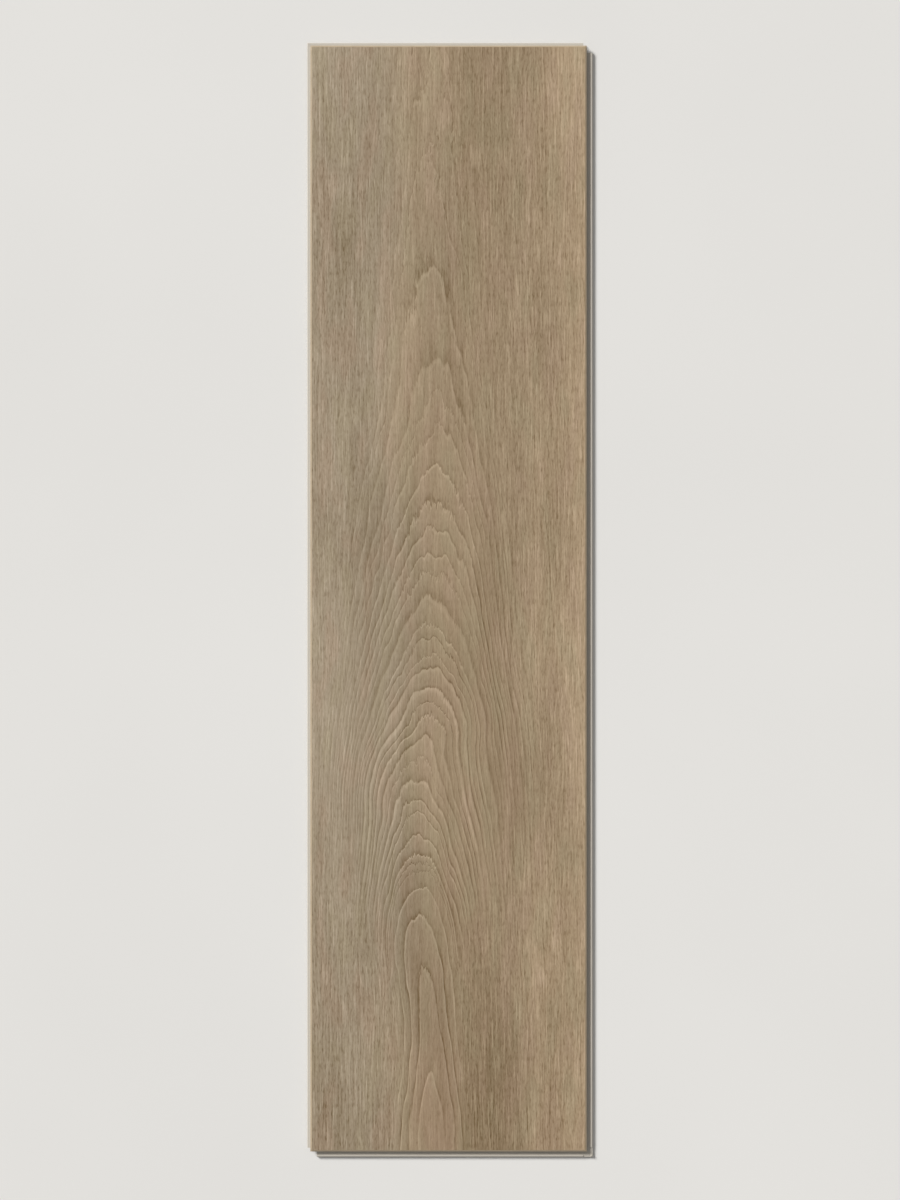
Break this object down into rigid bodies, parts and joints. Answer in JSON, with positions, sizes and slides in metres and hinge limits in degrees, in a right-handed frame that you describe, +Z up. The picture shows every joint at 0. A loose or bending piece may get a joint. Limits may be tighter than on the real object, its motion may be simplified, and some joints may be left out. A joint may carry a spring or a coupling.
{
  "type": "vinyl floor plank",
  "caption": "Rigid vinyl floor plank with an embossed oak-grain decor face, painted micro-bevels and an angling tongue-and-groove lock along its sides and ends.",
  "frame": {"origin": "middle of the decor face, straight below it on the underside", "axes": "+X across the plank towards the lipped groove side, +Y along it towards the tongue end, +Z up out of the decor face"},
  "size_m": [0.2363, 0.922, 0.006],
  "materials": {
    "vinyl": "matt, embossed oak grain in greyed beige"
  },
  "bodies": {
    "root": {"plank": "vinyl"}
  },
  "joints": []
}
